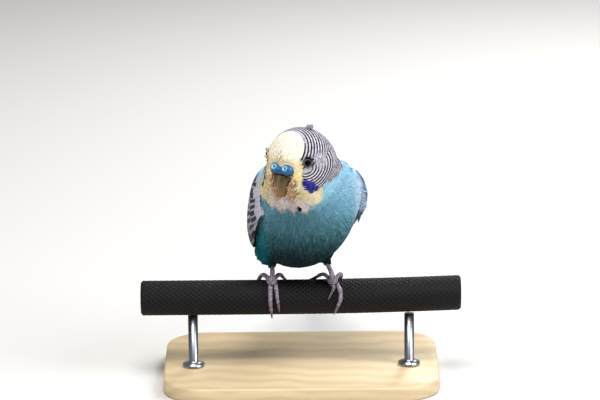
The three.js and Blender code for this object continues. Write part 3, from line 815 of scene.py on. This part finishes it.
def closed_sheet(top, under):
    """Points and quads of a thin closed plate, from two grids of points."""
    rows, columns = top.shape[:2]
    count = rows * columns
    grid = np.arange(count).reshape(rows, columns)
    a, b, c, d = grid[:-1, :-1], grid[1:, :-1], grid[1:, 1:], grid[:-1, 1:]
    upper = np.stack([a, b, c, d], -1).reshape(-1, 4)
    lower = upper[:, ::-1] + count
    rim = np.concatenate([grid[0, :-1], grid[:-1, -1], grid[-1, :0:-1], grid[:0:-1, 0]])
    after = np.roll(rim, -1)
    wall = np.stack([rim, after, after + count, rim + count], -1)
    return np.concatenate([top.reshape(-1, 3), under.reshape(-1, 3)]), np.concatenate([upper, lower, wall])


def pad_height(front, along):
    """How high a wing's pad stands over the body: most at its front edge, least where it ends."""
    t = np.clip((along - front) / (64 - front), 0, 1)
    return 0.45 + 1.5 * (1 - t) + 0.35 * t


class Vanes:
    """Gathers feathers into one piece, with what their material reads."""

    def __init__(self):
        self.points, self.faces, self.uv = [], [], []
        self.values = {"down": [], "across": [], "kind": [], "shade": []}
        self.count = 0
        self.made = 0

    def add(self, top, under, across, down, kind):
        """Adds one feather, with a patch of its own on the unwrap."""
        points, faces = closed_sheet(top, under)
        self.points.append(points)
        self.faces.append(faces + self.count)
        self.count += len(points)
        row, column = divmod(self.made, 32)
        patch = np.stack([0.01 + 0.03 * column + across * 0.02, 0.01 + 0.06 * row + down * 0.05], -1)
        self.uv.append(np.tile(patch.reshape(-1, 2), (2, 1)))
        self.made += 1
        shade = rng.uniform()
        flat = {"down": down, "across": across, "kind": down * 0 + kind, "shade": down * 0 + shade}
        for key, value in flat.items():
            self.values[key].append(np.tile(value.ravel(), 2))

    def piece(self, name, side):
        """One piece of all feathers, with its faces turned over where the side is negative."""
        faces = np.concatenate(self.faces)
        faces = faces if side > 0 else faces[:, ::-1]
        made = bulk_piece(name, np.concatenate(self.points), faces)
        set_uv(made, np.concatenate(self.uv))
        for key, values in self.values.items():
            set_float(made, key, np.concatenate(values))
        return made


def between(ends, step):
    """From the first of two numbers to the last."""
    return ends[0] + (ends[1] - ends[0]) * step


def add_pad(vanes, name):
    """The soft pad that a folded wing's feathers lie on."""
    side, front, shift, round_shift = WINGS[name]
    across, t = sheet_grid(16, 24)
    along = 6 + shift + (60 - shift) * t
    low = (-24 + round_shift) * (1 - t) + 30 * t
    round_ = low + (86 - low) * across
    top = on_sheet(side, along, round_, pad_height(front, along) - 0.35)
    vanes.add(top, on_sheet(side, along, round_, along * 0 + 0.1), across, t, -1)


def add_feather(vanes, name, kind, tier, step):
    """One wing feather, at a step from 0 to 1 through its tier."""
    side, front, shift, round_shift = WINGS[name]
    _, root, tip, root_round, tip_round, width = tier
    start = between(root, step) + shift * max(0, 1 - between(root, step) / 45)
    end = between(tip, step) + 0.7 * rng.uniform(-1, 1) + shift * max(0, 1 - between(tip, step) / 60)
    first = between(root_round, step) + round_shift * (1 - step)
    last = between(tip_round, step) + round_shift * (1 - step) * 0.6
    across, t = sheet_grid(8, 12)
    along = start + (end - start) * t
    offset = (across - 0.5) * width * blade(t)
    girth = 6 + 14 * np.maximum(0, 1 - along / 66)
    round_ = np.minimum(86, first + (last - first) * t + np.degrees(offset / girth))
    bow = 0.16 * (1 - (2 * across - 1) ** 2)
    tier_lift = 0.10 * (kind - 1)
    height = pad_height(front, along) + 0.02 + 0.22 * t - 0.42 * offset / width + bow + tier_lift
    height = height - 0.5 * np.maximum(0, 1 - t * 5)
    top = on_sheet(side, along, round_, height)
    under = on_sheet(side, along, round_, height - VANE_THICKNESS)
    vanes.add(top, under, across, t, kind)


def make_wing(name, material):
    """A folded wing: feathers in tiers that overlap like tiles over the body's side."""
    vanes = Vanes()
    add_pad(vanes, name)
    for kind, tier in enumerate(TIERS.values()):
        for number in range(tier[0]):
            add_feather(vanes, name, kind, tier, number / (tier[0] - 1))
    piece = vanes.piece(f"wing_feathers_{name}", WINGS[name][0])
    finish(piece, material, "wing_feathers", f"wing_{name}")


def grow_scapulars(name, material):
    """Soft body feathers that lie over the front and the top of a folded wing."""
    side, front, shift, _ = WINGS[name]
    right = side < 0
    count = 5200
    round_ = rng.uniform(-16 if right else 4, 92, count)
    first = 2 if right else 5 + 3 * np.clip((50 - round_) / 30, 0, 1)
    along = first + shift + rng.uniform(0, 17, count)
    height = pad_height(front, along) + (0.2 if right else -0.35)
    roots = on_sheet(side, along, round_, height)
    normals = unit(on_sheet(side, along, round_, height + 1) - roots)
    flows = on_sheet(side, along + 1.5, round_, height) - roots + rng.normal(0, 0.12, (count, 3))
    flows = unit(laid(flows, normals))
    local = roots - PERCH
    high = local[:, 2] > 51 + rng.normal(0, 0.8, count)
    bend = (local[:, 0] > 12) & (local[:, 1] < 11 + rng.normal(0, 1.2, count))
    keep = high | bend
    total = int(np.sum(keep))
    uv = np.stack([(round_ + 20) / 116, along / 60], 1)[keep]
    piece = leaf_coat(
        f"scapulars_{name}", roots[keep], normals[keep], flows[keep], rng.uniform(2.8, 4.2, total),
        rng.uniform(0.8, 1.2, total), rng.uniform(0.15, 0.4, total), np.full(total, 0.02), uv,
    )
    finish(piece, material, "blue_plumage")


TAIL_LENGTHS = (88, 61, 53, 45, 38, 31)


def make_tail(material):
    """Twelve graduated feathers, the middle pair longest and on top."""
    dorsal = unit(np.cross([1.0, 0, 0], TAIL_WAY))
    vanes = Vanes()
    for side in (1, -1):
        for step, length in enumerate(TAIL_LENGTHS):
            width = 6.2 if step == 0 else 7.0 - 0.2 * step
            across, t = sheet_grid(8, 16)
            taper = 1 - (0.35 if step == 0 else 0.15) * t
            middle = side * (0.9 + 0.95 * step * (0.4 + 0.6 * t) + step * 0.02 * length * t)
            aside = (across - 0.5) * width * taper * blade(t)
            stacked = 0.9 - 0.42 * step + (0.2 if side > 0 else 0) - 0.35 * aside * side / width
            bow = 0.2 * (1 - (2 * across - 1) ** 2)
            place = TAIL_ROOT + np.multiply.outer(t * length - 5, TAIL_WAY)
            place = place + np.multiply.outer(middle + aside, np.array([1.0, 0, 0]))
            top = place + np.multiply.outer(stacked + 0.22 + bow, dorsal)
            under = place + np.multiply.outer(stacked - 0.02 + bow, dorsal)
            vanes.add(top, under, across, t, step + 10)
    finish(vanes.piece("tail_feathers", -1), material, "tail_feathers", "tail")


def barb_normal(s, down, across):
    """Fine slanting barbs on both sides of a feather's shaft."""
    half = (across - 0.5).math("ABSOLUTE")
    barbs = ((down * 9 - half * 6) * 40).math("SINE")
    shaft = half.step(0.03, 0.0)
    s.bump(barbs * 0.25 + shaft * 2, 0.06, 0.7)
    return shaft


def wing_material():
    """Feathers with dark middles and pale lavender edges, and long ones dark with a pale outer edge."""
    s = Shader("wing feathers", 0.62)
    down, across = s.attribute("down"), s.attribute("across")
    kind, shade = s.attribute("kind"), s.attribute("shade")
    half = (across - 0.5).math("ABSOLUTE") * 2
    covert = kind.step(1.1, 1.4)
    small = kind.step(4.1, 4.4)
    ragged = s.noise(0.9, 2.0) - 0.5
    down = down + (shade - 0.5) * 0.32
    half = half * (0.82 + 0.36 * shade)
    large = kind.step(3.4, 3.1)
    filled = half.step(0.94, 0.80) * down.step(0.98, 0.90)
    streak = half.step(0.78, 0.60) * (down + ragged * 0.12).step(0.26, 0.36) * down.step(0.97, 0.90)
    drop = half.step(0.88, 0.70) * (down + ragged * 0.10).step(0.30, 0.40) * down.step(0.96, 0.89)
    dark = filled * large + (1 - large) * (streak * (1 - small) + drop * small)
    pale = s.mix("#b9afbd", "#98a3b5", shade * 0.7)
    # Painted shade: the pale edges turn a darker grey towards the bottom of the wing.
    pale = s.mix(pale, "#6c6470", s.along((0, 0, 1), PERCH).step(38, 28) * 0.7)
    coverts = s.mix(pale, "#18151b", dark)
    flight = s.mix("#3a3f4b", "#26262e", shade)
    flight = s.mix(flight, "#9db2bd", across.step(0.16, 0.03) * 0.9)
    flight = s.mix(flight, "#c9c3cc", half.step(0.84, 0.98) * 0.5)
    colour = s.mix(flight, coverts, covert)
    shaft = barb_normal(s, down, across)
    colour = s.mix(colour, "#17131a", shaft * 0.8)
    wobble = s.noise(3.0, 1.0) - 0.5
    colour = s.mix(colour, "#0d0b10", spots(s, THROAT_SPOTS[-2:], 0.3))
    high = (s.along((0, 0, 1), PERCH) + wobble * 4).step(50.5, 53.5)
    bend = s.along((1, 0, 0), PERCH).step(10, 14) * (s.along((0, 1, 0), PERCH) + wobble * 5).step(16, 11)
    s.paint(s.mix(colour, body_colour_and_shade(s, wobble), high.math("MAXIMUM", bend)))
    return s.material


def tail_material():
    """Dark blue middle feathers, and blue outer ones with a pale band."""
    s = Shader("tail feathers", 0.5)
    down, across = s.attribute("down"), s.attribute("across")
    kind, shade = s.attribute("kind"), s.attribute("shade")
    middle_pair = kind.step(10.6, 10.3)
    long_ones = s.mix("#1d3f78", "#16305e", shade)
    outer = s.mix("#3f7f9d", "#d8dcc8", (down - 0.55).bell(0.0, 0.22))
    outer = s.mix(outer, "#1a222c", (across - 0.9).step(0.0, 0.1))
    shaft = barb_normal(s, down, across)
    colour = s.mix(outer, long_ones, middle_pair)
    s.paint(s.mix(colour, "#0f0f14", shaft * 0.7))
    return s.material


# Beak, cere, eyes, legs and claws
def beak_material():
    """Satin horn, darker at its root, with a pale ridge and faint growth lines."""
    s = Shader("beak", 0.32)
    up = s.along(HEAD_UP, HEAD)
    colour = s.mix("#84601c", "#4b3a10", up.step(-11.5, -3))
    ridge = (s.along(HEAD_LEFT, HEAD) + 0.3).bell(0.0, 1.5) * up.step(-9.0, -4.0)
    colour = s.mix(colour, "#77705c", ridge * 0.6)
    lines = s.noise(0.9, 3.0)
    s.paint(s.mix(colour, "#2b1f08", lines.step(0.5, 0.75) * 0.4))
    s.bump(lines, 0.12, 0.5)
    return s.material


def cere_material():
    """Waxy blue, with painted shade on its lower part and in each nostril, and a pale rim round each
    nostril.
    """
    s = Shader("cere", 0.3)
    grain = s.noise(0.7, 3.0)
    colour = s.mix("#0b4373", "#1b6d9f", grain.step(0.35, 0.7))
    # Painted shade: the cere turns dark navy towards its lower part.
    colour = s.mix(colour, "#071c40", s.along(HEAD_UP, HEAD).step(1.4, -1.0) * 0.9)
    rims = [(place, 1.1) for place in NOSTRILS]
    # Painted shade: a dark disc in each nostril.
    hole_shade = [(place, 0.5) for place in NOSTRILS]
    colour = s.mix(colour, "#9fd3e6", spots(s, rims, 0.3) * 0.8)
    colour = s.mix(colour, "#070b14", spots(s, hole_shade, 0.12))
    s.paint(colour)
    s.bump(grain, 0.12, 0.5)
    return s.material


def eye_material():
    """Smooth black."""
    s = Shader("eye", 0.05, specular=0.03)
    s.paint(linear("#070506"))
    return s.material


def skin_material(name, first, second, size):
    """Scaly bare skin."""
    s = Shader(name, 0.55)
    scales = s.node("ShaderNodeTexVoronoi", "Distance", Vector=s.place(), Scale=1 / (size * MM))
    blotch = s.noise(2.0, 2.0)
    colour = s.mix(first, second, blotch.step(0.35, 0.7))
    s.paint(s.mix(colour, "#3c3036", scales.step(0.35, 0.6) * 0.6))
    s.bump(1 - scales, 0.15, 0.8)
    return s.material


def plain_material(name, colour, roughness):
    """One colour."""
    s = Shader(name, roughness)
    s.paint(linear(colour))
    return s.material


def smooth_copy(name, node, material, slot, steps):
    """A CAD node's own form, rounded off."""
    piece = node_copy(name, node)
    modify(piece, "REMESH", mode="VOXEL", voxel_size=0.22 * MM)
    modify(piece, "SMOOTH", factor=0.5, iterations=steps)
    shade_smooth(piece)
    return finish(piece, material, slot, node)


def taper_beak(piece):
    """Narrows the upper beak towards its tip and raises a ridge down its middle."""
    points = points_of(piece)
    local = points - HEAD
    left, up = local @ HEAD_LEFT, local @ HEAD_UP
    down = np.clip((-3.0 - up) / 9.5, 0, 1)
    narrow = left * 0.52 * down**0.8
    ridge = 0.35 * np.exp(-((left / 0.9) ** 2)) * np.clip(down * 3, 0, 1) * np.clip((1 - down) * 2, 0, 1)
    points = points - np.outer(narrow, HEAD_LEFT) + np.outer(ridge, HEAD_FORWARD)
    set_points(piece, points)


# Perch and stand
BRAID_TURNS = 0.42
BRAID_STRANDS = 22


def perch_material():
    """A tight black braid: two sets of strands that cross on a slant."""
    s = Shader("braid", 0.6, specular=0.18)
    along = s.along((1, 0, 0), PERCH)
    y = s.along((0, 1, 0), PERCH)
    z = s.along((0, 0, 1), PERCH)
    turn = y.math("ARCTAN2", z) * (1 / (2 * math.pi))
    first = ((along * BRAID_TURNS + turn * BRAID_STRANDS) * (2 * math.pi)).math("SINE")
    second = ((along * BRAID_TURNS - turn * BRAID_STRANDS) * (2 * math.pi)).math("SINE")
    weave = first.math("MAXIMUM", second)
    fibre = s.noise(0.35, 2.0)
    # Painted shade: the strands are darker in the grooves between them and lighter on their crests.
    colour = s.mix("#070608", "#191519", weave.step(0.1, 1.0) * 0.7)
    colour = s.mix(colour, "#4a4449", fibre.step(0.64, 0.78) * weave.step(0.5, 1.0) * 0.4)
    s.paint(colour)
    s.bump(weave * 0.6 + fibre * 0.5, 0.22, 0.7)
    return s.material


def make_perch(material):
    """The braided perch, its surface raised in crossing strands."""
    sides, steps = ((96, 320))
    turn = np.linspace(0, 2 * math.pi, sides, endpoint=False)
    along = np.linspace(-64.9, 64.9, steps)
    a, t = np.meshgrid(along, turn, indexing="ij")
    weave = np.maximum(
        np.sin(2 * math.pi * (a * BRAID_TURNS) + BRAID_STRANDS * t),
        np.sin(2 * math.pi * (a * BRAID_TURNS) - BRAID_STRANDS * t),
    )
    inset = 0.8 * np.clip((np.abs(a) - 64.1) / 0.8, 0, 1)
    radius = PERCH_RADIUS - 0.1 + 0.1 * weave - inset
    rise = PERCH_RISE * (np.maximum(0, a + 10) / 75) ** 2
    points = np.stack([a, radius * np.sin(t), radius * np.cos(t) + rise], -1) + PERCH
    index = np.arange(steps * sides).reshape(steps, sides)
    near, far = index[:-1], index[1:]
    quads = np.stack([near, far, np.roll(far, -1, 1), np.roll(near, -1, 1)], -1).reshape(-1, 4)
    faces = [tuple(q) for q in quads] + [tuple(index[0]), tuple(index[-1][::-1])]
    piece = new_piece("perch_braid", points.reshape(-1, 3), faces)
    return finish(piece, material, "rope", "perch")


def wood_material():
    """Pale satin wood with long grain."""
    s = Shader("base wood", 0.42)
    x = s.along((1, 0, 0))
    y = s.along((0, 1, 0))
    z = s.along((0, 0, 1))
    warp = s.noise(26, 2.0)
    rings = (y * 0.6 + z * 1.2 + warp * 12 + x * 0.02).math("SINE")
    colour = s.mix("#d6c09a", "#c6aa7e", rings.step(-0.6, 0.9) * 0.55)
    pores = s.noise(0.6, 2.0)
    s.paint(s.mix(colour, "#a98858", pores.step(0.55, 0.8) * 0.35))
    s.bump(pores, 0.05, 0.3)
    return s.material


def steel_material():
    """Brushed steel."""
    s = Shader("rod steel", 0.3, 1.0)
    z = s.along((0, 0, 1))
    brushed = s.noise(0.25, 1.0)
    s.paint(s.mix("#b4b7bb", "#9a9da2", (brushed + z * 0.01).step(0.4, 0.7)))
    return s.material


def plain_copy(name, node, material, slot):
    """A CAD node's own form, its soft edges shaded smooth."""
    piece = node_copy(name, node)
    select_only(piece)
    bpy.ops.object.shade_smooth_by_angle(angle=math.radians(35))
    return finish(piece, material, slot, node)


# Cere and eyelids
NOSTRILS = [(2.6, 14.5, 2.1), (-2.6, 14.5, 2.1)]
CERE_LOBES = [
    ((2.65, 12.2, 0.6), (2.65, 3.1, 2.65)),
    ((-2.65, 12.2, 0.6), (2.65, 3.1, 2.65)),
    ((0.0, 12.4, 0.1), (2.3, 2.8, 1.8)),
]


def make_cere(material):
    """The fleshy cere: two lobes and a bridge grown together, with a nostril sunk in each lobe."""
    lobes = []
    select_only()
    for middle, semi in CERE_LOBES:
        bpy.ops.mesh.primitive_uv_sphere_add(segments=40, ring_count=24, radius=MM)
        lobe = bpy.context.object
        round_points = points_of(lobe) * np.array(semi)
        axes = np.stack([HEAD_LEFT, HEAD_FORWARD, HEAD_UP])
        placed = round_points @ axes + in_head(*middle)
        set_points(lobe, placed)
        lobes.append(lobe)
    select_only(*lobes)
    bpy.ops.object.join()
    piece = bpy.context.object
    piece.name = "cere_skin"
    edit_all(piece, bpy.ops.mesh.normals_make_consistent, inside=False)
    modify(piece, "REMESH", mode="VOXEL", voxel_size=0.16 * MM)
    modify(piece, "SMOOTH", factor=0.5, iterations=6)
    points = points_of(piece)
    for place in NOSTRILS:
        reach = np.linalg.norm(points - in_head(*place), axis=1)
        sunk = -0.7 * np.exp(-((reach / 0.55) ** 2)) + 0.25 * np.exp(-(((reach - 1.0) / 0.34) ** 2))
        points = points + np.outer(sunk, unit(0.85 * HEAD_FORWARD + 0.4 * HEAD_UP))
    set_points(piece, points)
    shade_smooth(piece)
    finish(piece, material, "cere", "cere")


LID_RADIUS = 1.58
LID_THICKNESS = 0.28
LID_STRETCH = np.array([1.0, 0.86, 1.2])


def make_lids(node, side, material):
    """A fleshy ring of two lids round an eye, a little closed."""
    middle, radius = eye_place(node)
    facing = unit(side * 0.86 * HEAD_LEFT + 0.5 * HEAD_FORWARD + 0.08 * HEAD_UP)
    middle = middle + facing * (radius * (0.62 if side > 0 else 0.05))
    select_only()
    bpy.ops.mesh.primitive_torus_add(
        major_segments=40, minor_segments=12, major_radius=LID_RADIUS * MM, minor_radius=LID_THICKNESS * MM
    )
    ring = bpy.context.object
    ring.name = f"lids_{node}"
    turn = np.array(Vector(facing).to_track_quat("Z", "Y").to_matrix())
    set_points(ring, (points_of(ring) * LID_STRETCH) @ turn.T + middle)
    shade_smooth(ring)
    finish(ring, material, "eye")


# Loose tufts
def thigh_place(leg):
    """A little above the top of a leg."""
    shin = points_of(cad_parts[f"leg_{leg}"])
    return shin[shin[:, 2] > np.max(shin[:, 2]) - 0.8].mean(0) + np.array([0, 0, 0.9])


# Each tuft: middle, spread, way, how many, length and width
SHOULDER_TUFT = ((1.2, 1.6, 1.6), (0.26, 0.7, -0.55), 330, 3.6, 0.6)
THIGH_TUFT = ((0.9, 0.9, 0.5), (0.05, 0.25, -0.9), 260, 1.8, 0.4)
TUFTS = {
    "side_tuft": (PERCH + np.array([22.6, 5.0, 40.5]), (0.7, 1.8, 2.2), (0.78, 0.0, -0.42), 700, 4.2, 0.45),
    "shoulder_tuft_1": (PERCH + np.array([18.6, -3.0, 52.0]), *SHOULDER_TUFT),
    "shoulder_tuft_2": (PERCH + np.array([20.9, -0.5, 48.5]), *SHOULDER_TUFT),
    "shoulder_tuft_3": (PERCH + np.array([22.3, 2.0, 44.5]), *SHOULDER_TUFT),
    "thigh_tuft_left": (thigh_place("left"), *THIGH_TUFT),
    "thigh_tuft_right": (thigh_place("right"), *THIGH_TUFT),
}

# Beside the beak: root, way and length, in the head's frame
BEAK_RUFFLES = [
    ((6.6, 10.6, -4.2), (-0.30, 0.50, -0.60), 3.6),
    ((6.4, 9.8, -8.0), (-0.60, 0.50, -0.45), 4.08),
    ((5.2, 11.0, -3.4), (-0.20, 0.75, -0.70), 3.12),
    ((4.7, 11.0, -6.2), (-0.45, 0.65, -0.65), 3.84),
    ((4.2, 10.4, -9.4), (-0.30, 0.55, -0.80), 4.32),
]


def grow_tufts(material, slot):
    """The loose tufts on body and thighs, and the ruffled feathers on both sides of the beak."""
    for name, settings in TUFTS.items():
        tuft(name, *settings, material, slot)
    for side, word in ((1, "left"), (-1, "right")):
        for number, (root, way, length) in enumerate(BEAK_RUFFLES):
            middle = in_head(root[0] * side, root[1], root[2])
            inward = HEAD_LEFT * way[0] * side + HEAD_FORWARD * way[1] + HEAD_UP * way[2]
            name = f"beak_ruffle_{word}_{number + 1}"
            tuft(name, middle, (0.7, 0.6, 1.0), inward, 130, length, 0.62, material, slot)


# Build the bird
feathers = plumage_material()
skin = make_skin()
finish(skin, feathers, "blue_plumage", *FLESH)
grow_coat(skin, feathers, "blue_plumage")
crown_look = plain_material("crown feathers", "#9a8f9c", 0.85)
crown_way = HEAD_UP * 0.6 - HEAD_FORWARD * 0.8
tuft("crown_tuft", in_head(2.2, -3.4, 12.3), (0.7, 0.7, 0.3), crown_way, 120, 1.9, 0.4, crown_look,
     "barred_plumage")
grow_tufts(feathers, "blue_plumage")

wing_look = wing_material()
tail_look = tail_material()
for wing_name in WINGS:
    make_wing(wing_name, wing_look)
    grow_scapulars(wing_name, feathers)
make_tail(tail_look)

beak_look = beak_material()
taper_beak(smooth_copy("beak_top", "beak_upper", beak_look, "beak", 2))
plain_copy("beak_under", "beak_lower", beak_look, "beak")
make_cere(cere_material())
eye_look = eye_material()
for eye_node in EYES:
    smooth_copy(f"{eye_node}_ball", eye_node, eye_look, "eye", 3)
lid_look = skin_material("eyelid skin", "#5d545e", "#40383f", 0.35)
for eye_node, eye_side in EYES.items():
    make_lids(eye_node, eye_side, lid_look)

leg_look = skin_material("leg skin", "#a296a6", "#776c7e", 0.75)
claw_look = plain_material("claw", "#6a5a5e", 0.35)
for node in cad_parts:
    if node.startswith(("leg_", "toe_")):
        smooth_copy(f"{node}_skin", node, leg_look, "leg_skin", 3)
    elif node.startswith("claw_"):
        smooth_copy(f"{node}_horn", node, claw_look, "claw", 1)

make_perch(perch_material())
plain_copy("base_board", "stand_base", wood_material(), "base_wood")
rod_look = steel_material()
for end in ("left", "right"):
    plain_copy(f"rod_{end}", f"stand_rod_{end}", rod_look, "rod_steel")


# Floor, lights and camera
def make_floor():
    """A wide, pale, flat floor under the stand."""
    points = [(-3000, -3000, 0), (3000, -3000, 0), (3000, 3000, 0), (-3000, 3000, 0)]
    floor = new_piece("floor", points, [(0, 1, 2, 3)])
    floor.data.materials.append(plain_material("floor", "#d9d7d4", 0.8))


def area_light(name, place, aim, size, power, colour=(1, 1, 1)):
    """A square soft light, its place and aim in millimetres and its power in watts."""
    data = bpy.data.lights.new(name, "AREA")
    data.size = size * MM
    data.energy = power
    data.color = colour
    light = bpy.data.objects.new(name, data)
    light.location = Vector(place) * MM
    light.rotation_euler = (Vector(aim) - Vector(place)).to_track_quat("-Z", "Y").to_euler()
    link(light)


def make_camera():
    """A long lens a little above the bird, as in the photo."""
    lift = math.radians(15)
    target = PERCH + np.array([0.0, -10.0, 43.37])
    distance = 1333.3
    back = np.array([0.0, -math.cos(lift), math.sin(lift)])
    data = bpy.data.cameras.new("camera")
    data.lens = 200
    data.sensor_width = 36
    data.clip_end = 20
    camera = bpy.data.objects.new("camera", data)
    camera.location = Vector(target + back * distance) * MM
    turn = Vector(-back).to_track_quat("-Z", "Y").to_matrix().to_4x4()
    camera.rotation_euler = turn.to_euler()
    camera.rotation_euler.rotate_axis("Z", math.radians(-0.5))
    bpy.context.scene.camera = link(camera)


make_floor()
area_light("key", (-90, -480, 940), (0, -20, 70), 460, 10.0, (1.0, 0.98, 0.95))
area_light("fill", (640, -360, 520), (0, -10, 60), 500, 5.5, (0.9, 0.95, 1.0))
area_light("rim", (300, 600, 520), (0, 0, 70), 300, 4.0)
world = bpy.data.worlds.new("world")
world.use_nodes = True
world.node_tree.nodes["Background"].inputs["Color"].default_value = (0.85, 0.88, 0.92, 1)
world.node_tree.nodes["Background"].inputs["Strength"].default_value = 0.28
bpy.context.scene.world = world
bpy.context.scene.view_settings.view_transform = "Standard"
make_camera()
